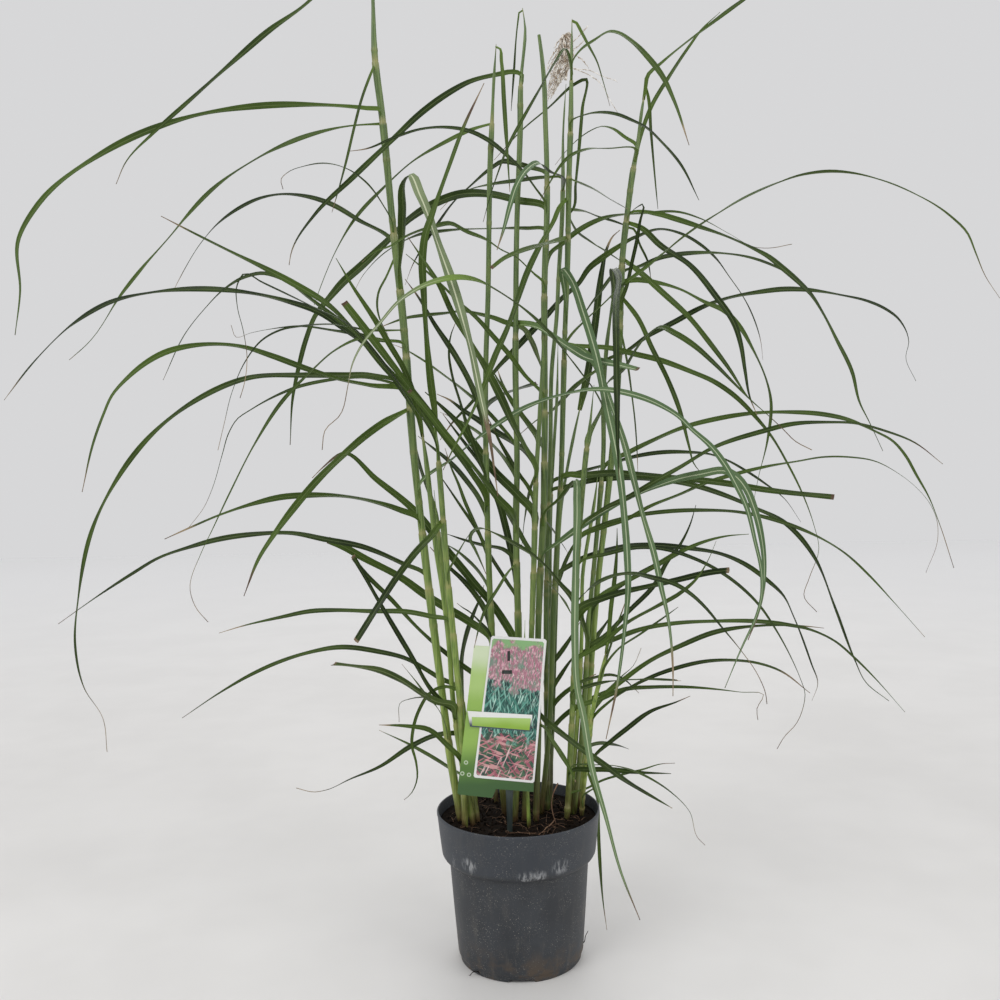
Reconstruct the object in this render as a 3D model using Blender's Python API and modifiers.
"""A potted clump of tall miscanthus grass. Metres, +Z up, the pot's foot centred on the origin."""

import bmesh
import bpy
import numpy as np
from mathutils import Matrix

MM = 0.001

# Pot: height, and radii from the foot to the rim
POT_HEIGHT = 210 * MM
FOOT_RADIUS = 85.5 * MM
WALL_LOW_RADIUS = 88.5 * MM
WALL_HIGH_RADIUS = 98 * MM
COLLAR_LOW_RADIUS = 108.5 * MM
RIM_RADIUS = 114.5 * MM
FOOT_STEP = 9 * MM
WALL_TOP = 143.5 * MM
COLLAR_BOTTOM = 153 * MM
RIM_ROUND = 2 * MM
POT_WALL = 2.5 * MM
POT_FLOOR = 8 * MM
POT_SIDES = 36
NOTCHES = 4
NOTCH_SIZE = (12 * MM, 30 * MM, 9 * MM)

SOIL_TOP = 196 * MM
FIT = 0.3 * MM

# Marks are read on a square front view of 1000 units a side, from an eye in front of the pot
VIEW_CENTRE = 500
VIEW_FOCAL = 1023
EYE = np.array([0, -1.423, 0.712])
YAW, PITCH, ROLL = -0.0116, 0.0475, -0.0208

# Label: depths of its layers from front to back, their thickness, and their corners as marks
LABEL_THICK = 0.9 * MM
BAND_DEPTH = -63 * MM
PICTURE_DEPTH = BAND_DEPTH + LABEL_THICK + FIT
BACK_DEPTH = PICTURE_DEPTH + LABEL_THICK + FIT
STAKE_DEPTH = BACK_DEPTH + LABEL_THICK + FIT
STAKE_THICK = 2.4 * MM
BAND_MARKS = [(467.5, 711), (532.4, 715), (530.6, 731.5), (470, 726.6)]
PICTURE_MARKS = [(492.5, 636), (545, 639.2), (546.6, 641), (534.4, 781.5), (532.6, 783), (475, 777.6),
                 (473.6, 776), (491, 637.6)]
BACK_MARKS = [(474, 645.4), (537, 649), (533.6, 792), (496, 789), (492.4, 798), (459, 794.5), (457.2, 793)]
STAKE_MARKS = [(500, 644), (514.5, 644), (512.5, 838), (507.5, 838)]
SLOT_MARKS = [
    [(507.4, 651), (510.2, 651), (510.2, 661), (507.4, 661)],
    [(502, 670.2), (512, 670.2), (512, 674), (502, 674)],
]

# Plume: marks along its bent spine, and its thickness at each
PLUME_DEPTH = 80 * MM
PLUME_MARKS = [(568, 29), (565.5, 40), (563, 52), (560.5, 63), (556.5, 74), (552.5, 86), (549.5, 99)]
PLUME_THICK = [8 * MM, 26 * MM, 38 * MM, 43 * MM, 34 * MM, 18 * MM, 5 * MM]
PLUME_SIDES = 8

# How a blade ends
TIP, THREAD, CUT = "tip", "thread", "cut"
BLADE_LEAST = 1.2 * MM
FOLD_WIDTH = 1.5
CULM_SIDES = 5
SHEATH = 12
CULM_TAPER = 0.25
TOP_FALL, TOP_START, TOP_RUN = 0.5, 0.88, 0.05

# A piece has as few straight lengths as stay this close to its curve
CULM_CHORD = 2 * MM
BLADE_CHORD = 4 * MM
TURN_WEIGHT = 100 * MM

# Settling: the least gap between pieces, and the steps in which a leaf swings forwards or back
CLEAR = 0.8 * MM
FINE_STEP = 4 * MM
SPREAD, SPREAD_LIMITS = 1.7, (-360 * MM, 210 * MM)
SWING_STEP = 20 * MM
SWING_STEPS = 16
LEAN_STEP, LEAN_STEPS = 8 * MM, 16
FRONT_LIMIT, BACK_LIMIT, FLOOR_LIMIT = -450 * MM, 240 * MM, 8 * MM
HURRIES = (1.0, 2.0, 3.5)

# Each culm: radius at the soil, lean of its top towards the back, marks from the soil up, and its
# leaves. A leaf: node name, or "" if it stays grown on the culm, height mark where it leaves the
# culm, width as it looks over the pot's middle, swing of its tip towards the back, kind of end,
# marks from base to tip.
CULMS = {
    "culm_01": {"radius": 5.4 * MM, "lean": -0.02, "marks": [
        (461, 820), (451, 761), (443, 700), (432, 614), (422, 530), (415, 466), (403, 319), (392, 217),
        (382, 115), (375, 59), (373, 0), (371, -60)],
        "leaves": [
            ("leaf_01", -50, 9 * MM, -0.1, TIP, [
                (350, -44), (330, -22), (310, 0), (268, 31), (230, 64), (184, 105), (153, 133),
                (125, 163), (116, 184)]),
            ("leaf_02", 110, 10 * MM, -0.14, TIP, [
                (367, 108), (321, 104.6), (255, 106), (184, 118), (102, 153), (38, 204), (18, 240),
                (20, 291), (15, 335)]),
            ("leaf_03", 123, 9 * MM, 0.08, TIP, [
                (347, 126), (306, 136), (268, 152), (217, 185), (166, 240), (122, 293), (87, 344),
                (69, 360)]),
            ("", 62, 3.5 * MM, -0.1, TIP, [
                (362, 98), (354, 128), (346, 162), (338, 192), (332, 212)]),
            ("", 222, 7 * MM, -0.12, THREAD, [
                (383, 204), (365, 181), (344, 167), (324, 163), (304, 166), (288, 172), (281, 179),
                (283, 189)]),
            ("", 246, 7 * MM, 0.12, TIP, [
                (357, 219), (329, 203), (306, 196), (281, 194), (260, 198), (237, 209), (217, 224),
                (199, 245), (184, 270), (173, 291)]),
            ("leaf_04", 278, 14.5 * MM, -0.3, TIP, [
                (401, 250), (402, 210), (404, 180), (409, 174), (420, 194), (440, 247), (461, 311),
                (471, 347), (481, 397), (489, 433), (494, 466), (498, 496)]),
            ("", 345, 7 * MM, -0.15, THREAD, [
                (385, 340), (362, 338), (335, 350), (310, 372), (283, 400), (255, 443), (230, 492),
                (212, 530), (201, 553), (190, 591), (196, 608), (208, 622)]),
            ("leaf_05", 394, 9 * MM, -0.1, TIP, [
                (370, 385), (344, 380), (311, 370), (270, 355), (245, 347), (207, 344), (163, 353),
                (125, 380), (112, 395), (103, 415), (94, 440), (82, 492)]),
            ("", 390, 8 * MM, 0.1, TIP, [
                (370, 375), (344, 375), (306, 375), (247, 378), (196, 400), (153, 433), (115, 482),
                (94, 524), (78, 599), (75, 645), (84, 688), (103, 719), (107, 752)]),
            ("", 345, 5.5 * MM, 0.15, THREAD, [
                (380, 340), (357, 334), (332, 330), (301, 326), (270, 329), (250, 333), (236, 337),
                (231, 325)]),
            ("", 330, 3.5 * MM, -0.18, THREAD, [
                (370, 330), (330, 324), (300, 326), (283, 329), (262, 340), (246, 360), (232, 392),
                (224, 425), (218, 450)]),
            ("", 396, 5.5 * MM, -0.16, THREAD, [
                (370, 378), (345, 378), (322, 381), (300, 386), (275, 396), (250, 410), (237, 419),
                (229, 432), (222, 455), (212, 489), (204, 507), (189, 527)]),
            ("", 254, 4.5 * MM, 0.05, TIP, [
                (386, 277), (378.5, 292), (377, 306), (380, 320), (388, 335)]),
            ("leaf_06", 408, 10 * MM, -0.2, TIP, [
                (383, 423), (365, 436), (344, 454), (321, 476), (301, 499), (275, 533), (260, 556),
                (244, 596)]),
            ("leaf_07", 521, 10 * MM, -0.06, TIP, [
                (398, 509), (372, 501), (344, 496), (306, 495), (281, 497), (255, 503), (219, 515),
                (191, 527), (164.5, 539)]),
            ("leaf_08", 577, 8 * MM, 0.06, TIP, [
                (402, 563), (364, 547), (324, 539), (293, 533), (255, 534), (224, 538), (189, 547),
                (158, 558), (133, 573), (102, 593), (58, 624)]),
            ("leaf_09", 490, 9 * MM, -0.32, TIP, [
                (453, 458), (491, 428), (530, 405), (568, 393), (591, 389), (632, 394), (660, 404.5),
                (680, 417), (691, 428), (712, 447), (726, 466), (737, 486), (746, 505), (755, 540),
                (762, 575), (761, 600), (756, 617), (743, 645), (725, 688)]),
            ("", 700, 3 * MM, -0.08, THREAD, [
                (426, 697), (409, 699), (401, 702), (399, 722)]),
            ("", 728, 4.5 * MM, -0.14, TIP, [
                (438, 708), (428, 697), (415, 680), (402, 664)]),
        ]},
    "culm_02": {"radius": 4.2 * MM, "lean": -0.1, "marks": [
        (465, 826), (463, 751), (458, 683), (453, 632), (448, 581), (440, 479), (435, 415)],
        "leaves": [
            ("leaf_10", 412, 11.5 * MM, -0.06, TIP, [
                (431, 385), (427.5, 351), (424, 300), (422.5, 255), (425, 235), (432, 214), (449, 166),
                (463, 128), (484, 83)]),
            ("leaf_11", 420, 10 * MM, -0.08, TIP, [
                (410, 393), (383, 365), (357, 334), (329, 305), (293, 283), (265, 268), (230, 251),
                (204, 238), (161, 216)]),
            ("", 445, 7 * MM, 0.06, TIP, [
                (400, 385), (357, 336), (310, 298), (285, 280), (262, 273), (244, 277), (224, 289),
                (204, 309), (186, 332), (163, 380)]),
            ("", 450, 7 * MM, -0.16, THREAD, [
                (410, 400), (380, 358), (350, 325), (314, 307), (281, 291), (262, 282), (244, 273.5),
                (237, 285), (237, 305), (243, 330), (247, 357), (244, 385), (240, 398)]),
            ("", 520, 10 * MM, -0.14, CUT, [
                (430, 537), (421, 546), (402, 570), (381, 601), (356, 641)]),
            ("", 622, 7 * MM, 0.1, TIP, [
                (430, 616), (410, 612), (370, 611), (337, 610), (311, 611), (281, 617), (242, 626),
                (219, 633)]),
            ("", 765, 7 * MM, -0.1, TIP, [
                (446, 744), (430, 730), (407, 726), (379, 725)]),
            ("", 692, 4.5 * MM, -0.12, TIP, [
                (450, 687), (440, 687.5), (430, 693), (420, 708), (413, 730), (412, 746), (416, 761),
                (417, 780), (410, 795), (404, 800)]),
            ("", 575, 4 * MM, -0.04, TIP, [
                (453, 562), (460, 549), (466, 539), (473, 529)]),
        ]},
    "culm_03": {"radius": 4 * MM, "lean": -0.03, "marks": [
        (473, 824), (462, 762), (453, 700), (449, 644), (443, 593), (435, 542), (431, 504), (424, 445),
        (419, 415)],
        "leaves": [
            ("leaf_12", 425, 9 * MM, 0.08, TIP, [
                (398, 385), (370, 349), (344, 329), (319, 312), (291, 302), (268, 296), (212, 289),
                (153, 292), (110, 302), (71, 325), (31, 365), (4, 400)]),
            ("", 712, 8 * MM, -0.12, CUT, [
                (440, 700), (430, 688), (415, 662), (397, 632), (376, 596), (362, 571), (353, 556)]),
            ("", 706, 11 * MM, -0.2, CUT, [
                (436, 701), (422, 693), (402, 680), (376, 669), (357, 666), (333, 663.5)]),
            ("", 778, 5.5 * MM, 0.06, TIP, [
                (450, 768), (436, 759), (413, 746), (379, 730)]),
            ("", 424, 8 * MM, -0.04, TIP, [
                (403, 367), (390, 345), (377, 323), (365, 305), (353, 287), (343, 270), (336, 258)]),
        ]},
    "culm_04": {"radius": 3.6 * MM, "lean": 0.05, "marks": [
        (478, 822), (469, 760), (462, 700), (454, 650), (446, 600), (441, 560), (437, 520), (434, 490)],
        "leaves": [
            ("", 690, 7 * MM, 0.04, TIP, [
                (440, 678), (427, 670), (410, 660), (376, 651), (341, 647), (306, 653), (281, 661),
                (250, 675), (219, 693), (182, 718)]),
            ("", 736, 7 * MM, -0.16, THREAD, [
                (450, 733), (436, 735), (413, 745), (379, 767), (350, 779), (326, 790), (314, 792),
                (296, 788)]),
            ("", 694, 8 * MM, 0.1, TIP, [
                (461, 680), (462, 655), (467, 632), (474, 612), (480, 598), (484, 585)]),
            ("", 520, 6 * MM, 0.1, TIP, [
                (432, 500), (424, 478), (417, 455), (413, 434), (411, 414)]),
        ]},
    "culm_05": {"radius": 4.2 * MM, "lean": -0.06, "marks": [
        (505, 815), (499, 750), (495, 690), (492, 635), (489, 571), (487, 501), (485.5, 420),
        (486, 358), (488, 297), (489, 231), (490, 169), (492, 123), (494, 77),
        (496.2, 44)],
        "leaves": [
            ("", 500, 13 * MM, -0.06, CUT, [
                (470, 470), (440, 428), (410, 387), (385, 355), (362, 325), (344, 302)]),
            ("leaf_13", 640, 12 * MM, 0.02, CUT, [
                (470, 622), (445, 607), (427, 596), (402, 578), (364, 558), (340, 545), (328, 540)]),
            ("", 690, 8 * MM, 0.0, CUT, [
                (480, 678), (455, 660), (440, 648), (420, 630), (390, 598), (365, 573), (353, 558)]),
            ("", 440, 8 * MM, 0.05, TIP, [
                (475, 394), (455, 355), (435, 325), (417, 295), (405, 279)]),
            ("", 408, 7 * MM, 0.12, CUT, [
                (501, 395), (517, 389), (530, 385), (537, 383)]),
            ("", 480, 7 * MM, -0.1, TIP, [
                (478, 455), (468, 428), (460, 401), (452, 374), (449, 351), (451, 335), (456, 322)]),
            ("", 123, 7 * MM, 0.06, TIP, [
                (470, 130), (443, 143), (410, 163), (384, 187), (356, 217), (336, 250), (320, 288),
                (314, 305)]),
            ("", 46, 6 * MM, -0.05, TIP, [
                (499, 47), (501.5, 61), (504, 100), (507, 146), (510, 192)]),
            ("", 560, 5 * MM, 0.05, TIP, [
                (484, 545), (474, 522), (465, 502), (458, 483), (451, 467), (445, 448)]),
            ("", 640, 8 * MM, 0.06, TIP, [
                (485, 610), (475, 594), (462, 579), (450, 568), (440, 558), (430, 547)]),
            ("", 652, 6 * MM, -0.06, TIP, [
                (489, 632), (480, 622), (470, 612), (462, 607), (457, 603)]),
            ("", 520, 7 * MM, 0.12, TIP, [
                (480, 500), (466, 480), (450, 462), (432, 447), (418, 436)]),
            ("", 592, 5 * MM, 0.1, TIP, [
                (480, 573), (468, 560), (456, 550), (442, 542)]),
        ]},
    "culm_06": {"radius": 4.6 * MM, "lean": 0.02, "marks": [
        (514.6, 821), (518, 760), (519, 700), (518.5, 637), (517, 578), (516, 520), (517, 471),
        (516.5, 420), (515.5, 374), (515.7, 325), (517, 220), (520, 138), (521.5, 73), (524, 50),
        (525.3, 30), (522.5, 8)],
        "leaves": [
            ("", 520, 12 * MM, -0.1, CUT, [
                (498, 498), (470, 462), (440, 427), (424, 407), (409, 390)]),
            ("leaf_14", 655, 11 * MM, 0.03, TIP, [
                (500, 615), (470, 578), (440, 542), (415, 511), (376, 479), (343, 453), (322, 468),
                (312, 478)]),
            ("leaf_15", 74, 8.5 * MM, -0.05, TIP, [
                (512, 71.5), (501, 73.5), (468, 82), (453, 90), (422, 112), (394, 138), (351, 179),
                (315, 214), (291, 253), (289, 265)]),
            ("", 10, 4 * MM, 0.04, TIP, [
                (519.6, 11.5), (517.8, 21), (516, 38), (514, 69), (511, 111)]),
            ("", 322, 13 * MM, -0.2, CUT, [
                (535, 325), (555, 337), (571, 348), (586, 357), (601, 361), (617, 364), (638, 369)]),
            ("", 326, 8 * MM, 0.03, TIP, [
                (505, 322), (495, 318), (480, 314), (463, 311), (445, 313), (425, 315), (405, 318),
                (388, 324), (378, 328)]),
            ("", 326, 7 * MM, 0.1, TIP, [
                (523, 328), (530, 338), (538, 357), (543, 372)]),
            ("", 450, 6 * MM, 0.08, TIP, [
                (500, 425), (480, 404), (460, 387), (440, 372), (420, 358), (400, 347), (392, 344)]),
            ("", 600, 5 * MM, 0.06, TIP, [
                (507, 582), (490, 555), (477, 530), (460, 505), (443, 480), (436, 470)]),
            ("", 563, 6 * MM, 0.06, TIP, [
                (505, 550), (483, 545), (465, 540), (447, 534)]),
            ("", 600, 10 * MM, 0.08, TIP, [
                (512, 555), (506, 528), (499, 503), (490, 483), (480, 463), (468, 447), (455, 430),
                (443, 414)]),
            ("", 562, 5 * MM, -0.08, TIP, [
                (508, 572), (498, 588), (488, 604), (481, 620), (477, 635), (474, 648)]),
            ("", 480, 6 * MM, 0.12, TIP, [
                (508, 463), (495, 447), (478, 432), (458, 420), (440, 412)]),
        ]},
    "culm_07": {"radius": 3.8 * MM, "lean": -0.04, "marks": [
        (524, 821), (528, 740), (531, 650), (534, 560), (536, 480), (540, 410), (542, 345)],
        "leaves": [
            ("leaf_16", 470, 13 * MM, -0.12, TIP, [
                (526, 448), (514, 425), (501, 397), (486, 368), (471, 343), (452, 312), (440, 286),
                (425, 262), (408, 237)]),
            ("", 516, 12 * MM, 0.03, TIP, [
                (517, 494), (494, 471), (478, 450), (460, 425), (440, 405), (425, 392)]),
            ("", 472, 5 * MM, 0.1, TIP, [
                (530, 490), (525, 517), (522, 545)]),
            ("", 468, 9 * MM, 0.1, TIP, [
                (528, 453), (512, 441), (495, 431), (480, 421), (463, 410), (450, 400), (437, 394)]),
            ("", 505, 6 * MM, 0.04, TIP, [
                (529, 488), (519, 474), (508, 456), (500, 442), (495, 432), (488, 418)]),
            ("", 442, 7 * MM, 0.06, TIP, [
                (530, 427), (520, 412), (510, 398), (497, 378), (488, 362)]),
            ("", 560, 7 * MM, 0.12, TIP, [
                (524, 541), (513, 521), (502, 503), (492, 487), (484, 470)]),
        ]},
    "culm_08": {"radius": 4.4 * MM, "lean": 0.0, "marks": [
        (536, 820), (538, 730), (538, 640), (541, 560), (543.5, 515), (544.5, 455), (545, 405),
        (544.5, 283), (547, 208), (546.5, 154), (545.4, 123), (544, 80), (542, 58), (539, 35)],
        "leaves": [
            ("", 209, 11.5 * MM, 0.04, TIP, [
                (517, 200), (491, 194), (460, 194), (435, 203), (408, 220), (393, 235), (362, 265),
                (342, 283), (329, 298), (316, 314), (306, 339), (298, 370), (293, 395), (290, 445)]),
            ("", 206, 7.5 * MM, -0.06, TIP, [
                (535, 187), (523, 171), (508, 156), (490, 141), (470, 131), (445, 127), (420, 129),
                (395, 137), (365, 149), (350, 151)]),
            ("", 174, 7.5 * MM, 0.08, TIP, [
                (530, 167), (515, 163), (503, 161), (491, 168), (471, 185), (455, 200), (440, 220),
                (427, 240), (412, 266), (405, 285)]),
            ("", 230, 7.5 * MM, 0.1, TIP, [
                (526, 228), (501, 228), (463, 229), (440, 231), (420, 234), (405, 240), (388, 250),
                (374, 262), (361, 278), (354, 292)]),
            ("", 283, 8.5 * MM, -0.1, TIP, [
                (535, 274), (527, 266), (517, 257), (501, 249), (486, 239), (466, 231), (450, 223),
                (435, 226), (408, 235), (390, 246), (374, 252), (362, 262)]),
            ("", 400, 7.5 * MM, -0.06, TIP, [
                (524, 374), (509, 354), (494, 337), (477, 318), (460, 303), (445, 288), (424, 269),
                (406, 254)]),
            ("leaf_17", 515, 10.5 * MM, -0.3, TIP, [
                (560, 498), (576, 479), (577, 500), (576, 563), (575, 640), (578, 691), (583, 714),
                (592, 768), (606, 817), (621, 872), (640, 920)]),
            ("leaf_18", 556, 11.5 * MM, -0.18, TIP, [
                (557, 543), (572, 532), (600, 513), (634, 495), (655, 486), (680, 478), (700, 474),
                (727, 471), (736, 476), (746, 488), (754, 507), (761, 535), (764, 560), (763, 590),
                (757, 617), (748, 640)]),
            ("", 518, 5.5 * MM, 0.1, TIP, [
                (551, 527), (560, 540), (568, 553)]),
            ("", 712, 8.5 * MM, -0.22, TIP, [
                (545, 720), (560, 732), (585, 751), (606, 766), (625, 780), (648, 794), (672, 808)]),
            ("", 284, 7.5 * MM, 0.08, THREAD, [
                (551, 252), (563, 243), (572, 235), (603, 218), (644, 213), (680, 212), (702, 219),
                (730, 234), (755, 247), (768, 248), (792, 244)]),
            ("", 722, 8 * MM, -0.2, TIP, [
                (545, 727), (551, 738), (560, 752), (569, 767), (576, 782)]),
            ("", 450, 7 * MM, 0.12, TIP, [
                (535, 432), (524, 418), (512, 402), (503, 385), (497, 368)]),
        ]},
    "culm_09": {"radius": 3.6 * MM, "lean": 0.06, "marks": [
        (547.7, 811), (547, 740), (546, 640), (547, 560), (549, 500), (550.5, 440), (551.5, 374),
        (557, 312), (558.5, 278), (562, 220), (563, 177), (563, 138), (566, 84)],
        "leaves": [
            ("", 178, 7 * MM, 0.05, TIP, [
                (547, 177), (520, 180), (491, 184), (467, 190), (452, 198), (440, 210)]),
            ("", 177, 8.5 * MM, -0.16, TIP, [
                (551, 172), (538, 162), (528, 168), (518, 182), (510, 205), (504, 228), (497, 250)]),
            ("", 492, 7.5 * MM, 0.06, TIP, [
                (569, 486), (588, 481), (618, 478), (651, 479), (689, 484), (722, 494), (753, 507),
                (784, 522), (801, 538), (814, 556), (835, 607), (855, 660), (865, 681), (889, 701)]),
            ("", 580, 5 * MM, -0.12, TIP, [
                (556, 590), (565, 602), (572, 615)]),
            ("", 722, 9 * MM, -0.06, TIP, [
                (553, 705), (562, 695), (574, 686), (586, 679), (596, 674)]),
            ("", 742, 7 * MM, 0.08, TIP, [
                (556, 724), (566, 714), (578, 706), (592, 698), (606, 691), (620, 685)]),
            ("", 680, 7 * MM, 0.06, TIP, [
                (551, 665), (558, 656), (566, 645), (573, 634), (580, 622)]),
        ]},
    "culm_10": {"radius": 3 * MM, "lean": 0.1, "marks": [
        (551, 808), (551, 740), (550.5, 660), (550, 580), (550.5, 510), (554, 445), (557, 395),
        (558, 340)],
        "leaves": [
            ("", 482, 6.5 * MM, 0.05, TIP, [
                (567, 476), (586, 470), (612, 463), (632, 457), (664, 452), (689, 452), (710, 454),
                (727, 460), (745, 470), (766, 484), (784, 498), (801, 522)]),
            ("", 702, 6 * MM, 0.08, TIP, [
                (553, 688), (560, 676), (568, 664), (577, 652)]),
            ("", 600, 6 * MM, 0.12, TIP, [
                (558, 582), (566, 560), (576, 542), (590, 528)]),
        ]},
    "culm_11": {"radius": 4 * MM, "lean": -0.02, "marks": [
        (541, 813), (547.5, 750), (551, 690), (553, 620), (557, 548), (561, 478), (563, 405), (565, 330),
        (567, 281), (569, 178), (571, 108), (571.5, 61), (571.8, 40), (572, 19)],
        "leaves": [
            ("leaf_19", 62, 7.5 * MM, -0.16, TIP, [
                (581, 49), (594, 40), (611, 31), (617, 32), (632, 41), (648, 57), (663, 77),
                (674, 100), (689, 145)]),
            ("", 20.5, 6 * MM, 0.02, TIP, [
                (575, 21.5), (581, 31), (589, 46), (597, 61), (603, 80), (610, 106)]),
            ("", 68, 5 * MM, -0.08, TIP, [
                (565, 48), (555, 62), (540, 88), (523, 118), (508, 146), (497, 175), (490, 196),
                (483, 222)]),
            ("", 121, 6 * MM, -0.1, TIP, [
                (586, 114), (601, 112), (617, 114), (632, 120), (646, 127), (661, 141), (680, 163),
                (699, 200)]),
            ("", 178, 4 * MM, -0.1, TIP, [
                (594, 189), (612, 200), (628, 209)]),
            ("", 215, 4.5 * MM, 0.1, TIP, [
                (573, 209), (575.4, 185), (578.5, 154), (582.3, 108), (584.6, 79), (578, 82),
                (548, 108), (523, 129), (494, 160)]),
            ("", 237, 7.5 * MM, -0.14, CUT, [
                (547, 243), (532, 247), (517, 252), (504, 258), (491, 268)]),
            ("leaf_20", 197, 8.5 * MM, -0.2, TIP, [
                (560, 206), (554, 220), (540, 245), (526, 275), (517, 301), (506, 331), (497, 351),
                (483, 387), (466, 425), (452, 451), (443, 470)]),
            ("", 215, 7.5 * MM, 0.15, TIP, [
                (578, 232), (590, 241), (603, 249), (620, 260), (640, 272)]),
            ("", 209, 6 * MM, 0.06, TIP, [
                (585, 211), (600, 217), (614, 221), (632, 228)]),
            ("leaf_21", 312, 11 * MM, -0.34, TIP, [
                (564, 290), (562.5, 268), (568, 275), (583, 312), (595, 351), (606, 405), (614, 440),
                (620, 476), (624, 515), (627, 553), (628, 591), (625, 624), (617, 686), (606, 739)]),
            ("leaf_22", 342, 9.5 * MM, -0.26, TIP, [
                (578, 346), (594, 362), (603, 381), (612, 405), (623, 438), (633, 476), (643, 515),
                (654, 553), (661, 586), (668, 617), (673, 668), (673, 696)]),
            ("leaf_23", 348, 10 * MM, -0.18, TIP, [
                (585, 320), (600, 306), (625, 283), (651, 263), (676, 242), (702, 223), (753, 193),
                (804, 174), (830, 171), (855, 173), (906, 189), (952, 217), (967, 232), (976, 253),
                (985, 275), (1000, 298)]),
            ("", 345, 7.5 * MM, 0.08, THREAD, [
                (583, 346), (611, 348), (635, 354), (660, 360), (690, 371), (715, 382), (735, 396),
                (755, 416), (770, 434), (789, 466), (804, 497), (814, 525), (819, 548), (809, 579),
                (804, 596), (817, 612)]),
            ("leaf_24", 477, 10 * MM, -0.1, CUT, [
                (586, 475), (609, 473), (640, 475), (660, 476.5), (721, 482.5), (768, 490), (834, 497)]),
            ("", 578, 7.5 * MM, 0.1, TIP, [
                (572, 564), (600, 552), (625, 546), (651, 545), (689, 548), (722, 554), (745, 564),
                (766, 579), (784, 596), (794, 617), (812, 665), (818, 683), (812, 701)]),
        ]},
    "culm_12": {"radius": 2.8 * MM, "lean": 0.14, "marks": [
        (549, 804), (552, 750), (554, 690), (556, 620), (558, 560), (561, 510), (567, 470), (575, 430),
        (583, 395)],
        "leaves": [
            ("", 398, 10 * MM, 0.06, TIP, [
                (588, 372), (592, 345), (596, 318), (599, 292), (602, 270), (607, 248), (613, 236),
                (620, 230)]),
        ]},
    "culm_13": {"radius": 3.8 * MM, "lean": -0.12, "marks": [
        (567, 818.5), (570, 760), (573, 700), (575, 640), (577, 575), (581, 510), (586, 455),
        (590, 425), (594, 385)],
        "leaves": [
            ("leaf_25", 530, 7 * MM, -0.06, TIP, [
                (600, 511), (630, 496), (655, 481), (680, 467), (712, 448), (763, 431), (791, 424),
                (830, 422), (855, 423), (886, 431), (914, 442), (943, 464)]),
            ("", 540, 6 * MM, 0.04, THREAD, [
                (601, 528), (629, 518), (648, 507), (680, 494), (705, 483), (735, 474), (768, 466),
                (798, 461), (822, 457), (850, 457), (875, 461), (898, 473), (916, 487), (929, 502),
                (937, 520), (938, 538), (926, 573)]),
            ("", 625, 7 * MM, -0.04, TIP, [
                (603, 594), (629, 580), (655, 566), (680, 552), (703, 542), (726, 536), (749, 534)]),
            ("", 538, 6 * MM, 0.1, TIP, [
                (601, 525), (633, 516), (671, 511), (702, 510), (740, 512), (779, 521), (817, 536),
                (845, 553), (870, 576), (893, 601), (925, 637)]),
            ("", 566, 6 * MM, -0.12, THREAD, [
                (610, 553), (640, 547), (660, 548), (691, 557), (721, 572), (740, 586), (760, 606),
                (775, 628), (791, 657), (801, 680), (805, 692), (803, 708), (796, 724), (784, 737),
                (777, 749)]),
            ("leaf_26", 612, 10 * MM, -0.1, CUT, [
                (603, 598), (622, 592), (640, 588), (676, 580), (712, 572), (729, 570)]),
            ("", 606, 7.5 * MM, -0.2, THREAD, [
                (592, 586), (609, 577), (629, 573), (655, 578), (675, 584), (691, 594), (706, 608),
                (721, 626), (740, 649), (758, 675), (766, 695), (767, 704)]),
            ("", 662, 6 * MM, 0.08, TIP, [
                (600, 646), (625, 634), (650, 627), (676, 623), (715, 621), (753, 621), (784, 624),
                (812, 630), (835, 641), (855, 658), (875, 678), (905, 712)]),
            ("", 664, 7.5 * MM, -0.14, TIP, [
                (600, 645), (628, 622), (655, 607), (680, 593), (697, 578), (708, 560), (716, 541)]),
            ("", 712, 7 * MM, -0.05, THREAD, [
                (600, 699), (625, 689), (651, 687), (689, 687), (715, 689), (740, 692), (764, 695),
                (757, 709), (758, 720)]),
            ("", 692, 9 * MM, -0.15, CUT, [
                (588, 686), (603, 682), (625, 679.5), (651, 679), (679, 680)]),
            ("", 690, 4.5 * MM, 0.08, TIP, [
                (600, 676), (611, 674.6), (624, 679), (632, 686), (639, 693)]),
            ("", 772, 7 * MM, -0.08, TIP, [
                (592, 769.5), (610, 769.5), (635, 772), (671, 773.5)]),
            ("", 768, 5 * MM, -0.18, THREAD, [
                (595, 764.6), (612, 765), (632, 770), (655, 781), (671, 792), (690, 812), (698, 838),
                (705, 845)]),
            ("", 436, 9 * MM, 0.05, TIP, [
                (594, 424), (602, 408), (606, 395)]),
            ("", 795, 3 * MM, 0.06, TIP, [
                (585, 789), (603, 780), (624, 774), (644, 769), (660, 764), (675, 763)]),
        ]},
    "culm_14": {"radius": 3.2 * MM, "lean": 0.02, "marks": [
        (570.5, 812), (576, 740), (580, 680), (582, 620), (583, 571), (588, 540), (594, 505),
        (599, 465)],
        "leaves": [
            ("", 655, 7 * MM, 0.05, CUT, [
                (592, 648), (610, 641), (640, 630), (667, 624)]),
        ]},
    "culm_15": {"radius": 3.6 * MM, "lean": 0.08, "marks": [
        (573.8, 814), (580, 755), (585, 690), (588.5, 625), (595, 555), (599, 510), (603.5, 450),
        (603.5, 405), (607, 343), (611, 312), (614, 281)],
        "leaves": [
            ("", 285, 9.5 * MM, -0.2, TIP, [
                (614, 268), (616.5, 271), (616, 300), (616, 343), (617, 400), (618, 451), (619, 480)]),
            ("leaf_27", 362, 8 * MM, 0.05, TIP, [
                (625, 352), (646, 337), (676, 321), (702, 307), (727, 298), (758, 292), (784, 289),
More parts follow.
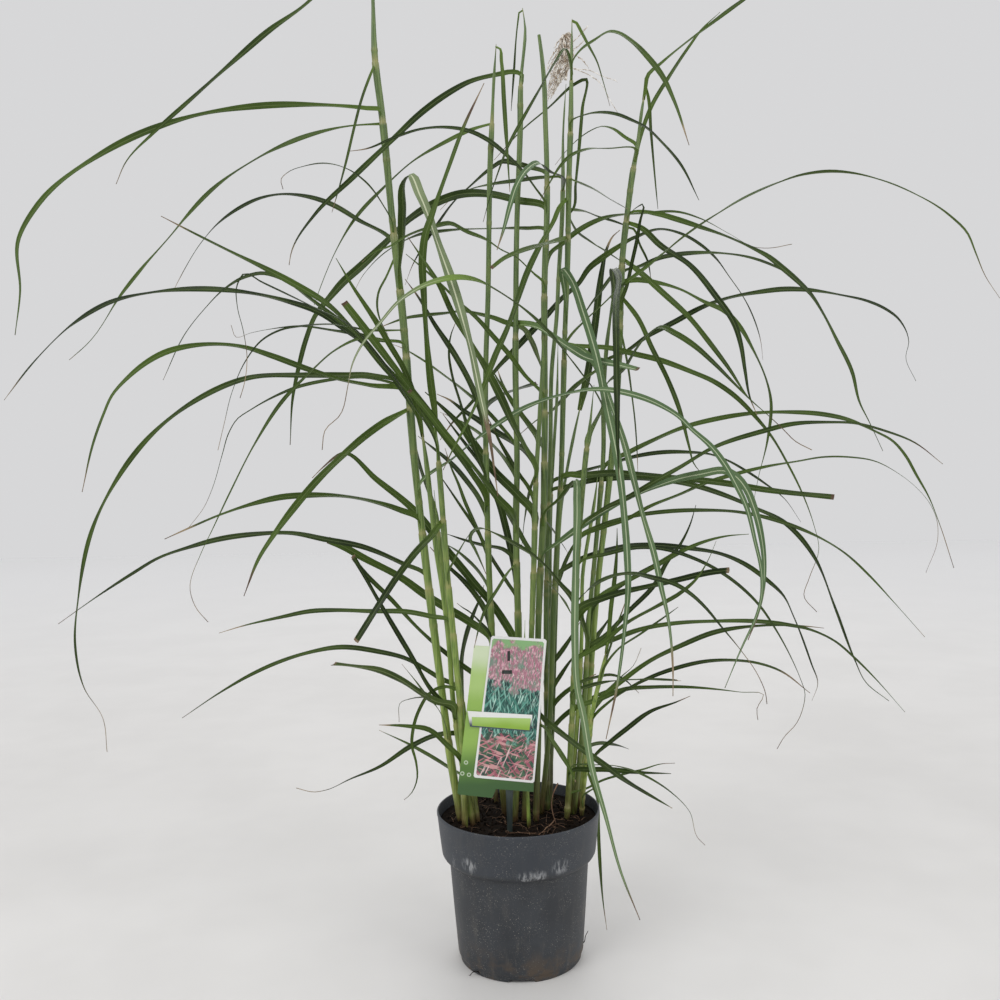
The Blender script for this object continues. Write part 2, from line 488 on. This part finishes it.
                (812, 290), (842, 295), (868, 301), (886, 309), (898, 318), (909, 342), (906, 357),
                (916, 381)]),
            ("leaf_28", 388, 9.5 * MM, -0.16, THREAD, [
                (625, 367), (636, 349), (648, 334), (660, 326.5), (675, 333), (695, 346), (714, 363),
                (734, 383), (752, 401), (768, 415), (783, 429), (795, 441), (812, 450)]),
            ("leaf_29", 470, 7 * MM, 0.06, TIP, [
                (631, 451), (651, 441), (684, 427), (715, 419), (753, 413), (791, 412), (822, 414),
                (850, 420), (875, 431), (893, 441), (906, 456), (916, 474), (929, 497), (939, 522),
                (954, 568)]),
            ("", 362, 9 * MM, 0.12, TIP, [
                (595, 371), (584, 379), (573, 388), (560, 402), (551, 411), (538, 419), (520, 434)]),
            ("leaf_30", 640, 9.5 * MM, -0.22, TIP, [
                (581, 617), (572, 597), (560, 583), (547, 567), (532, 554), (514, 543), (495, 533),
                (480, 528), (473, 531), (470, 537), (475, 549), (480, 560), (486, 574)]),
            ("", 650, 6.5 * MM, 0.08, TIP, [
                (605, 636), (629, 611), (655, 584), (667, 562), (680, 545), (690, 525), (696, 505)]),
            ("", 634, 8 * MM, 0.04, TIP, [
                (594, 604), (608, 594), (624, 583), (641, 572), (657, 563), (672, 553)]),
        ]},
    "culm_16": {"radius": 4.8 * MM, "lean": 0.02, "marks": [
        (578, 806), (584, 745), (589, 690), (593, 640), (598, 580), (605, 520), (612, 455), (617, 400),
        (620, 328), (623, 251), (628, 208), (632, 177), (637, 148), (641, 116), (646, 84)],
        "leaves": [
            ("leaf_31", 430, 9.5 * MM, -0.24, THREAD, [
                (606, 412), (594, 389), (581, 372), (566, 352), (551, 334), (535, 318), (517, 303),
                (494, 288), (478, 280), (463, 277), (435, 281), (400, 300), (378, 325), (365, 340),
                (352, 365), (348, 385), (340, 415), (325, 430), (322, 450)]),
            ("", 146, 5.5 * MM, 0.05, TIP, [
                (625, 137), (612, 128), (601, 126), (591, 130), (578, 139), (565, 152), (555, 165)]),
            ("", 150, 6.5 * MM, -0.08, TIP, [
                (609, 148), (586, 149), (571, 155), (560, 166), (550, 182), (540, 200)]),
            ("", 86, 4.5 * MM, 0.03, TIP, [
                (648, 95), (651, 131), (655, 177), (658, 209)]),
            ("", 305, 5 * MM, -0.06, TIP, [
                (627, 285), (632, 262), (637, 240), (640, 222), (643, 204), (636, 208), (629, 214)]),
            ("", 228, 3 * MM, 0.03, TIP, [
                (632, 228), (640, 245), (648, 262), (651, 280)]),
            ("", 325, 3 * MM, -0.05, TIP, [
                (624, 345), (628, 366), (632, 395), (635, 420), (637, 448), (638, 475)]),
            ("", 88, 7 * MM, -0.05, TIP, [
                (647.3, 76), (661, 63), (680, 47), (705, 28), (743, 0), (770, -18),
                (800, -26)]),
            ("", 156, 5.5 * MM, 0.12, TIP, [
                (640, 138), (652, 105), (668, 78), (690, 45), (702, 29), (720, 12)]),
            ("leaf_32", 215, 9.5 * MM, -0.05, TIP, [
                (659, 214), (675, 218.5), (701, 227), (729, 237), (752, 247.5), (768, 256), (783, 268),
                (798, 281), (811, 294), (822, 311), (837, 340), (852, 371), (860, 403), (869, 421),
                (883, 451)]),
            ("", 222, 8 * MM, -0.12, TIP, [
                (640, 227), (660, 245), (690, 265), (715, 295), (735, 325), (741, 345), (745, 370),
                (750, 398), (757, 415)]),
            ("", 245, 5.5 * MM, 0.1, TIP, [
                (640, 235), (658, 229), (680, 233), (700, 244), (715, 257), (730, 277), (743, 296),
                (753, 316), (761, 342), (763, 360)]),
            ("", 273, 7 * MM, 0.08, TIP, [
                (640, 266), (659, 258), (689, 253), (722, 253), (753, 258), (779, 268), (799, 280),
                (812, 296)]),
            ("", 258, 8 * MM, -0.08, TIP, [
                (640, 272), (661, 291), (690, 318), (710, 343), (730, 370), (745, 393), (752, 402)]),
            ("leaf_33", 283, 9 * MM, 0.04, TIP, [
                (632, 280), (655, 282), (680, 289), (705, 302), (725, 311), (738, 324), (753, 349),
                (766, 378), (771, 400), (768, 438), (758, 480), (754, 500)]),
            ("", 296, 6.5 * MM, -0.1, TIP, [
                (638, 318), (652, 348), (667, 378), (680, 411), (689, 446), (694, 464), (702, 474)]),
            ("", 243, 9 * MM, 0.08, TIP, [
                (603, 257), (589, 268), (578, 284), (563, 297), (547, 315), (532, 331), (517, 347),
                (498, 367), (471, 403), (452, 423), (440, 440)]),
            ("", 265, 5.5 * MM, 0.12, TIP, [
                (611, 277), (600, 292), (588, 308), (580, 322)]),
            ("", 652, 8 * MM, 0.04, TIP, [
                (597, 636), (604, 626), (612, 614)]),
            ("", 762, 5 * MM, 0, TIP, [
                (585.5, 765), (589, 775), (593, 786), (597, 797), (598.5, 809), (598.6, 824), (598.9, 840),
                (600.5, 870), (603, 900), (607, 930)]),
        ]},
    "culm_17": {"radius": 3.2 * MM, "lean": -0.1, "marks": [
        (581.5, 815), (584.5, 778), (589, 742), (592, 714), (597, 691), (603, 668), (608, 640)],
        "leaves": [
            ("", 642, 6 * MM, 0.02, TIP, [
                (610.8, 609), (615.4, 571), (617, 540), (617, 528)]),
            ("", 712, 7 * MM, 0.06, TIP, [
                (600, 700), (623, 680), (651, 660), (682, 645), (715, 632), (753, 626), (804, 626),
                (824, 628)]),
            ("", 722, 6 * MM, -0.1, TIP, [
                (610, 701), (638, 683), (676, 668), (707, 661), (733, 660), (758, 663), (779, 670),
                (810, 693)]),
            ("", 770, 7 * MM, -0.06, TIP, [
                (595, 755), (611, 741), (625, 730), (651, 711), (676, 702), (690, 696)]),
            ("", 747, 5 * MM, 0.08, TIP, [
                (600, 743), (612, 744), (621, 746), (629, 749)]),
            ("", 672, 5 * MM, -0.1, TIP, [
                (617, 650), (640, 634), (660, 620), (678, 607)]),
            ("", 796, 4 * MM, -0.04, TIP, [
                (591, 790), (599, 786)]),
            ("", 704, 6 * MM, -0.04, TIP, [
                (600, 680), (606, 660), (611, 645), (616, 628), (622, 612), (626, 600)]),
            ("", 708, 4 * MM, 0.06, THREAD, [
                (612, 686), (623, 675), (633, 666), (638, 656), (641, 648)]),
        ]},
    "culm_18": {"radius": 4 * MM, "lean": 0.02, "marks": [
        (477, 803), (474, 788), (472, 775)],
        "leaves": [
        ]},
    "culm_19": {"radius": 4.2 * MM, "lean": 0.02, "marks": [
        (496, 803), (496, 786), (497, 770)],
        "leaves": [
        ]},
    "culm_20": {"radius": 2.6 * MM, "lean": -0.04, "marks": [
        (529, 827), (527, 780), (525, 730), (524, 680), (525, 620)],
        "leaves": [
        ]},
}


def view_axes():
    """Ahead, right and up of the front view."""
    ahead = np.array([np.sin(YAW) * np.cos(PITCH), np.cos(YAW) * np.cos(PITCH), -np.sin(PITCH)])
    level = np.array([np.cos(YAW), -np.sin(YAW), 0])
    above = np.cross(level, ahead)
    right = np.cos(ROLL) * level + np.sin(ROLL) * above
    return ahead, right, np.cross(right, ahead)


def rays(marks):
    ahead, right, up = view_axes()
    marks = np.array(marks, float)
    across = (marks[:, :1] - VIEW_CENTRE) / VIEW_FOCAL
    rise = (VIEW_CENTRE - marks[:, 1:]) / VIEW_FOCAL
    return ahead + across * right + rise * up


def at_depth(marks, depth):
    """The points behind the marks whose y is depth."""
    ray = rays(marks)
    return EYE + ray * ((depth - EYE[1]) / ray[:, 1])[:, None]


def on_soil(mark):
    ray = rays([mark])[0]
    return EYE + ray * (SOIL_TOP - EYE[2]) / ray[2]


def smooth(marks, steps=8):
    """A smooth curve through the marks that doesn't swing out where they lie close together."""
    marks = np.array(marks, float)
    gap = np.linalg.norm(np.diff(marks, axis=0), axis=1)[:, None]
    way = np.diff(marks, axis=0) / gap
    share = gap[:-1] / (gap[:-1] + gap[1:])
    tangent = np.vstack([way[:1], way[:-1] * (1 - share) + way[1:] * share, way[-1:]])
    t = np.linspace(0, 1, steps, endpoint=False)[:, None]
    curve = [
        (2 * t**3 - 3 * t**2 + 1) * marks[i]
        + (t**3 - 2 * t**2 + t) * gap[i] * tangent[i]
        + (3 * t**2 - 2 * t**3) * marks[i + 1]
        + (t**3 - t**2) * gap[i] * tangent[i + 1]
        for i in range(len(gap))
    ]
    return np.vstack(curve + [marks[-1:]])


def along(points):
    """Each point's share of the way along, from 0 to 1."""
    steps = np.linalg.norm(np.diff(points, axis=0), axis=1)
    way = np.concatenate([[0], np.cumsum(steps)])
    return way / way[-1]


def culm_path(marks, lean):
    curve = smooth(marks)
    depth = on_soil(marks[0])[1] + lean * along(curve)
    return curve, at_depth(curve, depth)


def on_culm(curve, values, height):
    """One of the culm's values where its curve passes a height mark."""
    return np.interp(height, curve[::-1, 1], values[::-1])


def culm_radius(radius, share):
    """Nearly even as far as the top, where only the youngest leaf goes on."""
    top = 1 - TOP_FALL * np.clip((share - TOP_START) / TOP_RUN, 0, 1)
    return radius * (1 - CULM_TAPER * share) * top


def blade_width(share, width, end):
    """The blade's width from a narrow neck to its tip, dried thread or cut end."""
    neck = 0.6 + 0.4 * np.clip(share / 0.1, 0, 1)
    if end == CUT:
        fall = 1 - 0.2 * share
    elif end == THREAD:
        fall = np.clip((0.82 - share) / 0.45, 0.1, 1)
    else:
        fall = np.clip((1 - share) / 0.4, 0.05, 1) ** 0.8
    return np.maximum(width * neck * fall, BLADE_LEAST)


def nearness(path):
    """How large a width looks at each point, set against the same width over the pot's middle."""
    return EYE[1] / (EYE[1] - path[:, 1])


def blade_path(curve, start_depth, swing, hurry):
    """The blade's curve in space: its depth changes early on when hurry is high."""
    share = along(curve)
    depth = start_depth + swing * (1 - (1 - share) ** hurry)
    return at_depth(curve, depth)


class Room:
    """The capsules that the placed pieces fill, so that the next piece can keep clear of them."""

    def __init__(self):
        self.owners = np.empty(0, object)
        self.starts = np.empty((0, 3))
        self.ends = np.empty((0, 3))
        self.radii = np.empty(0)

    def fill(self, owner, path, radii):
        self.owners = np.concatenate([self.owners, [owner] * (len(path) - 1)])
        self.starts = np.vstack([self.starts, path[:-1]])
        self.ends = np.vstack([self.ends, path[1:]])
        self.radii = np.concatenate([self.radii, np.maximum(radii[:-1], radii[1:])])

    def gap(self, owner, path, radii, only=False):
        """The least gap from the path to the pieces of other owners, or only to this owner's."""
        reach = radii.max() + 20 * MM
        low, high = path.min(axis=0) - reach, path.max(axis=0) + reach
        near = (self.owners == owner) == only
        near &= (np.minimum(self.starts, self.ends) < high).all(axis=1)
        near &= (np.maximum(self.starts, self.ends) > low).all(axis=1)
        if not near.any():
            return np.full(len(path), reach)
        start, span = self.starts[near], (self.ends - self.starts)[near]
        offset = path[:, None] - start[None]
        share = (offset * span).sum(axis=2) / (span * span).sum(axis=1)
        offset -= np.clip(share, 0, 1)[:, :, None] * span
        return (np.linalg.norm(offset, axis=2) - self.radii[near]).min(axis=1) - radii


def lengths(path, close):
    """The indices of the few rings whose straight lengths stay this close to the path."""
    size = np.linalg.norm(np.diff(path, axis=0), axis=1)
    measure = np.concatenate([[0], np.cumsum(size + TURN_WEIGHT * bends(path)[1:] * size)])
    for count in range(2, 30):
        picks = np.unique(np.searchsorted(measure, np.linspace(0, measure[-1] * 0.9999, count + 1)))
        if np.linalg.norm(path - straight(path, picks), axis=1).max() < close:
            break
    return picks


def headings(path):
    """Unit directions along the path."""
    way = np.concatenate([[0], np.cumsum(np.linalg.norm(np.diff(path, axis=0), axis=1))])
    return way, unit(np.gradient(path, way, axis=0))


def bends(path):
    """How sharply the path bends at each point, as one over its radius."""
    way, heading = headings(path)
    return np.linalg.norm(np.gradient(heading, way, axis=0), axis=1)


def straight(path, picks):
    """The path with straight lengths between the picks, its points as far along as before."""
    way = along(path)
    return np.stack([np.interp(way, way[picks], column[picks]) for column in path.T], axis=1)


def unit(vectors):
    return vectors / np.linalg.norm(vectors, axis=1)[:, None]


def facings(path, turn):
    """Directions across the blade and out of its upper face, which the blade carries along untwisted."""
    heading = headings(path)[1]
    middle = len(path) // 2
    face = np.empty_like(path)
    last = np.array([0.8 * np.sin(turn), -0.8 * np.cos(turn), 0.6])
    for i in [*range(middle, len(path)), *range(middle - 1, -1, -1)]:
        if i == middle - 1:
            last = face[middle]
        last = last - (last @ heading[i]) * heading[i]
        last = face[i] = last / np.linalg.norm(last)
    return np.cross(heading, face), face


def fine(path, radii):
    """The path and its radii at close steps."""
    way = headings(path)[0]
    steps = np.linspace(0, way[-1], int(way[-1] / FINE_STEP) + 2)
    points = np.stack([np.interp(steps, way, column) for column in path.T], axis=1)
    return points, np.interp(steps, way, radii)


def swings(wish):
    """The wished swing first, then others further and further from it."""
    for step in range(SWING_STEPS):
        for side in (1, -1) if step else (1,):
            for hurry in HURRIES:
                yield wish + side * step * SWING_STEP, hurry


def settle_blade(room, leaf):
    """The first swing at which the blade keeps clear, or the one that comes closest to it."""
    full = blade_width(along(leaf["line"]), leaf["width"], leaf["end"])
    best = None
    for swing, hurry in swings(leaf["swing"]):
        path = blade_path(leaf["line"], leaf["depth"], swing, hurry)
        in_front, behind, low = path[:, 1].min(), path[:, 1].max(), path[:, 2].min()
        if in_front < FRONT_LIMIT or behind > BACK_LIMIT or low < FLOOR_LIMIT:
            continue
        pinch = np.maximum(FOLD_WIDTH / (bends(path) + 1), BLADE_LEAST)
        widths = np.minimum(np.maximum(full / nearness(path), BLADE_LEAST), pinch)
        if leaf["node"] != leaf["culm"]:
            off = room.gap(leaf["culm"], path, widths / 2, only=True)
            first = int(np.argmax(off > CLEAR))
            path, widths = path[first:], widths[first:]
        picks = lengths(path, BLADE_CHORD)
        least = room.gap(leaf["node"], *fine(straight(path, picks), widths / 2)).min()
        if best is None or least > best["gap"]:
            best = {**leaf, "path": path, "widths": widths, "picks": picks, "gap": least}
        if least > CLEAR:
            break
    return best


def settle_culm(room, name, culm):
    """The culm at the least change of lean that keeps it clear."""
    for step in range(2 * LEAN_STEPS):
        lean = culm["lean"] + (step + 1) // 2 * LEAN_STEP * (-1) ** step
        curve, path = culm_path(culm["marks"], lean)
        radii = culm_radius(culm["radius"], along(path))
        picks = lengths(path, CULM_CHORD)
        if room.gap(name, *fine(straight(path, picks), radii)).min() > CLEAR:
            return curve, path, radii, picks
    raise ValueError(f"{name} has no clear place")


def around(centre, radius, z=0.0, sides=24):
    turn = np.linspace(0, 2 * np.pi, sides + 1)
    ring = np.stack([np.cos(turn) * radius, np.sin(turn) * radius, np.full(sides + 1, z)], axis=1)
    return ring + np.array([*centre, 0])


def label_columns():
    """Upright capsules that fill the label's outline."""
    low, high = at_depth([(465, 790)], BACK_DEPTH)[0], at_depth([(546, 640)], BACK_DEPTH)[0]
    for x in np.arange(low[0], high[0], 9 * MM):
        yield np.array([[x, BACK_DEPTH, low[2]], [x, BACK_DEPTH, high[2]]])


def settle_all():
    """Places every culm and blade, each clear of those before it."""
    room = Room()
    for height in np.linspace(0.1, 1, 6):
        ring = around((0, 0), RIM_RADIUS - (1 - height) * 12 * MM, height * POT_HEIGHT)
        room.fill("pot", ring, np.full(len(ring), 3 * MM))
    for column in label_columns():
        room.fill("label", column, np.full(2, 6 * MM))
    stake = at_depth([(510, 700), (510, 838)], STAKE_DEPTH + STAKE_THICK / 2)
    room.fill("label", stake, np.full(2, 5 * MM))
    culms, leaves = [], []
    for name, culm in CULMS.items():
        curve, path, radii, picks = settle_culm(room, name, culm)
        room.fill(name, path[picks], radii[picks])
        culms.append({"node": name, "path": path, "radii": radii, "picks": picks})
        for node, height, width, swing, end, marks in culm["leaves"]:
            collar = max(height, curve[-1, 1] + 1)
            low = collar + SHEATH if marks[0][1] < collar else collar
            stem = [(on_culm(curve, curve[:, 0], y), y) for y in sorted({low, collar}, reverse=True)]
            line = smooth(stem + marks)
            leaves.append({"node": node or name, "culm": name, "width": width,
                           "swing": float(np.clip(swing * SPREAD, *SPREAD_LIMITS)),
                           "end": end, "line": line, "depth": on_culm(curve, path[:, 1], low),
                           "turn": 0.6 * np.sin(2.4 * len(leaves))})
    room.fill("plume", at_depth(PLUME_MARKS, PLUME_DEPTH), np.array(PLUME_THICK) / 2)
    leaves.sort(key=lambda leaf: leaf["node"] == leaf["culm"])
    blades = []
    for leaf in leaves:
        blade = settle_blade(room, leaf)
        if blade["gap"] < CLEAR:
            print(f"{leaf['node']} on {leaf['culm']} keeps only {blade['gap'] / MM:.1f} mm clear")
        room.fill(leaf["node"], blade["path"][blade["picks"]], blade["widths"][blade["picks"]] / 2)
        blades.append(blade)
    return culms, blades


def keep(name, mesh_builder, collection):
    """A mesh object of the builder's closed mesh, in the collection."""
    mesh = bpy.data.meshes.new(name)
    bmesh.ops.recalc_face_normals(mesh_builder, faces=mesh_builder.faces)
    mesh_builder.to_mesh(mesh)
    mesh_builder.free()
    thing = bpy.data.objects.new(name, mesh)
    collection.objects.link(thing)
    return thing


def loft(name, rings, collection):
    """A closed solid through rings of points."""
    bm = bmesh.new()
    rows = [[bm.verts.new(point) for point in ring] for ring in rings]
    bm.faces.new(rows[0])
    bm.faces.new(rows[-1])
    for row, after in zip(rows, rows[1:]):
        for i in range(len(row)):
            j = (i + 1) % len(row)
            bm.faces.new((row[i], row[j], after[j], after[i]))
    return keep(name, bm, collection)


def circle(radius, z, sides, centre):
    turn = np.arange(sides) * 2 * np.pi / sides
    return [(centre[0] + radius * np.cos(a), centre[1] + radius * np.sin(a), z) for a in turn]


def turned(name, profile, collection):
    """A solid turned about Z from a profile of (radius, z), listed from its top down its outer side."""
    bm = bmesh.new()
    points = [bm.verts.new((radius, 0, z)) for radius, z in profile]
    for point, after in zip(points, points[1:]):
        bm.edges.new((point, after))
    thing = keep(name, bm, collection)
    turn = thing.modifiers.new("turn", "SCREW")
    turn.steps = POT_SIDES
    turn.render_steps = POT_SIDES
    turn.use_merge_vertices = True
    turn.merge_threshold = 0.1 * MM
    return thing


def block(name, centre, size, collection):
    bm = bmesh.new()
    bmesh.ops.create_cube(bm, size=1, matrix=Matrix.Translation(centre) @ Matrix.Diagonal((*size, 1)))
    return keep(name, bm, collection)


def plate(name, marks, depth, thick, collection):
    """An upright plate with its front face at the depth, its corners behind the marks."""
    bm = bmesh.new()
    bm.faces.new([bm.verts.new(point) for point in at_depth(marks, depth)])
    thing = keep(name, bm, collection)
    wall = thing.modifiers.new("thickness", "SOLIDIFY")
    wall.thickness = thick
    wall.offset = thing.data.polygons[0].normal.y
    return thing


def boolean(thing, operation, others):
    """Cuts or joins the thing with each of the others in turn."""
    for other in others:
        modifier = thing.modifiers.new(other.name, "BOOLEAN")
        modifier.operation = operation
        modifier.object = other


def collection(name, parent, helper=False):
    made = bpy.data.collections.new(name)
    made.hide_render = helper
    parent.children.link(made)
    return made


def build_culm(culm, parts):
    picks = culm["picks"]
    rings = [circle(radius, z, CULM_SIDES, (x, y))
             for (x, y, z), radius in zip(culm["path"][picks], culm["radii"][picks])]
    rings[0] = [(x, y, SOIL_TOP + FIT) for x, y, z in rings[0]]
    return loft(culm["node"], rings, parts)


def build_blade(name, blade, where):
    """A blade with a flat upper face and a keel under it."""
    across, out = facings(blade["path"], blade["turn"])
    rings = []
    for i in blade["picks"]:
        point, half = blade["path"][i], blade["widths"][i] / 2
        keel = point - out[i] * (0.28 * half + 0.3 * MM)
        rings.append([point - across[i] * half, point + across[i] * half, keel])
    return loft(name, rings, where)


def build_pot(parts, helpers):
    profile = [
        (0, POT_FLOOR),
        (WALL_LOW_RADIUS - POT_WALL, POT_FLOOR),
        (WALL_HIGH_RADIUS - POT_WALL, WALL_TOP + 1 * MM),
        (COLLAR_LOW_RADIUS - POT_WALL, COLLAR_BOTTOM + 1 * MM),
        (RIM_RADIUS - POT_WALL, POT_HEIGHT),
        (RIM_RADIUS - 0.7 * MM, POT_HEIGHT),
        (RIM_RADIUS, POT_HEIGHT - RIM_ROUND),
        (COLLAR_LOW_RADIUS, COLLAR_BOTTOM),
        (WALL_HIGH_RADIUS, WALL_TOP),
        (WALL_LOW_RADIUS, FOOT_STEP + 1 * MM),
        (FOOT_RADIUS + 1 * MM, FOOT_STEP),
        (FOOT_RADIUS, 0),
        (0, 0),
    ]
    pot = turned("pot", profile, parts)
    cutters = collection("foot notches", helpers, helper=True)
    length, width, height = NOTCH_SIZE
    for index in range(NOTCHES):
        notch = block(f"notch {index + 1}", (FOOT_RADIUS, 0, 0), (2 * length, width, height), cutters)
        notch.rotation_euler.z = (index / NOTCHES - 0.25) * 2 * np.pi
    boolean(pot, "DIFFERENCE", cutters.objects)
    return pot


def build_soil(parts):
    """The compost fills the pot up to its flat top, a fit's width inside the wall."""
    top_share = (SOIL_TOP - COLLAR_BOTTOM) / (POT_HEIGHT - COLLAR_BOTTOM)
    top_radius = COLLAR_LOW_RADIUS + top_share * (RIM_RADIUS - COLLAR_LOW_RADIUS)
    inset = POT_WALL + 2 * FIT
    profile = [
        (0, SOIL_TOP),
        (top_radius - inset, SOIL_TOP),
        (COLLAR_LOW_RADIUS - inset, COLLAR_BOTTOM + 1 * MM + FIT),
        (WALL_HIGH_RADIUS - inset, WALL_TOP + 1 * MM + FIT),
        (WALL_LOW_RADIUS - inset, POT_FLOOR + FIT),
        (0, POT_FLOOR + FIT),
    ]
    return turned("soil", profile, parts)


def build_label(parts, helpers):
    """The stake stands in the soil behind two cards, with a narrow band across the front one."""
    slots = collection("label slots", helpers, helper=True)
    for index, marks in enumerate(SLOT_MARKS):
        plate(f"slot {index + 1}", marks, BAND_DEPTH - 2 * MM, 8 * MM, slots)
    stake = plate("label_stake", STAKE_MARKS, STAKE_DEPTH, STAKE_THICK, parts)
    back = plate("label_back_card", BACK_MARKS, BACK_DEPTH, LABEL_THICK, parts)
    picture = plate("label_picture_card", PICTURE_MARKS, PICTURE_DEPTH, LABEL_THICK, parts)
    band = plate("label_name_band", BAND_MARKS, BAND_DEPTH, LABEL_THICK, parts)
    boolean(back, "DIFFERENCE", slots.objects)
    boolean(picture, "DIFFERENCE", slots.objects)
    for corner in stake.data.vertices:
        corner.co.z = max(corner.co.z, SOIL_TOP + FIT)
    return [stake, back, picture, band]


def build_plume(parts):
    """The flower plume stands at the top of the clump and nods to the left."""
    spine = at_depth(PLUME_MARKS, PLUME_DEPTH)
    ahead = unit(np.gradient(spine, axis=0))
    side = unit(np.cross(ahead, [0, 1, 0]))
    turns = np.arange(PLUME_SIDES) * 2 * np.pi / PLUME_SIDES
    rings = [[point + thick / 2 * (np.cos(a) * across + np.sin(a) * np.array([0, 0.8, 0])) for a in turns]
             for point, across, thick in zip(spine, side, PLUME_THICK)]
    return loft("plume", rings, parts)


def paint(thing, colour, roughness):
    """The thing's own Principled material."""
    material = bpy.data.materials.new(thing.name)
    material.use_nodes = True
    shader = material.node_tree.nodes["Principled BSDF"]
    shader.inputs["Base Color"].default_value = (*colour, 1)
    shader.inputs["Roughness"].default_value = roughness
    thing.data.materials.append(material)


def main():
    for thing in list(bpy.data.objects):
        bpy.data.objects.remove(thing, do_unlink=True)
    scene = bpy.context.scene.collection
    parts = collection("potted miscanthus", scene)
    helpers = collection("cutters and grown leaves", scene, helper=True)

    paint(build_pot(parts, helpers), (0.06, 0.07, 0.09), 0.5)
    paint(build_soil(parts), (0.012, 0.009, 0.007), 0.95)
    stake, back, picture, band = build_label(parts, helpers)
    paint(stake, (0.10, 0.13, 0.10), 0.6)
    paint(back, (0.16, 0.36, 0.06), 0.35)
    paint(picture, (0.75, 0.70, 0.68), 0.35)
    paint(band, (0.30, 0.52, 0.12), 0.35)
    paint(build_plume(parts), (0.42, 0.32, 0.22), 0.9)

    culms, blades = settle_all()
    for culm in culms:
        stem = build_culm(culm, parts)
        grown = [blade for blade in blades if blade["node"] == culm["node"]]
        if grown:
            leaves = collection(f"leaves of {stem.name}", helpers, helper=True)
            for index, blade in enumerate(grown):
                build_blade(f"{stem.name} leaf {index + 1}", blade, leaves)
            boolean(stem, "UNION", leaves.objects)
        paint(stem, (0.14, 0.21, 0.07), 0.55)
    for blade in blades:
        if blade["node"] != blade["culm"]:
            paint(build_blade(blade["node"], blade, parts), (0.05, 0.11, 0.04), 0.5)
    for helper in helpers.all_objects:
        helper.hide_render = True
        helper.display_type = "WIRE"


main()
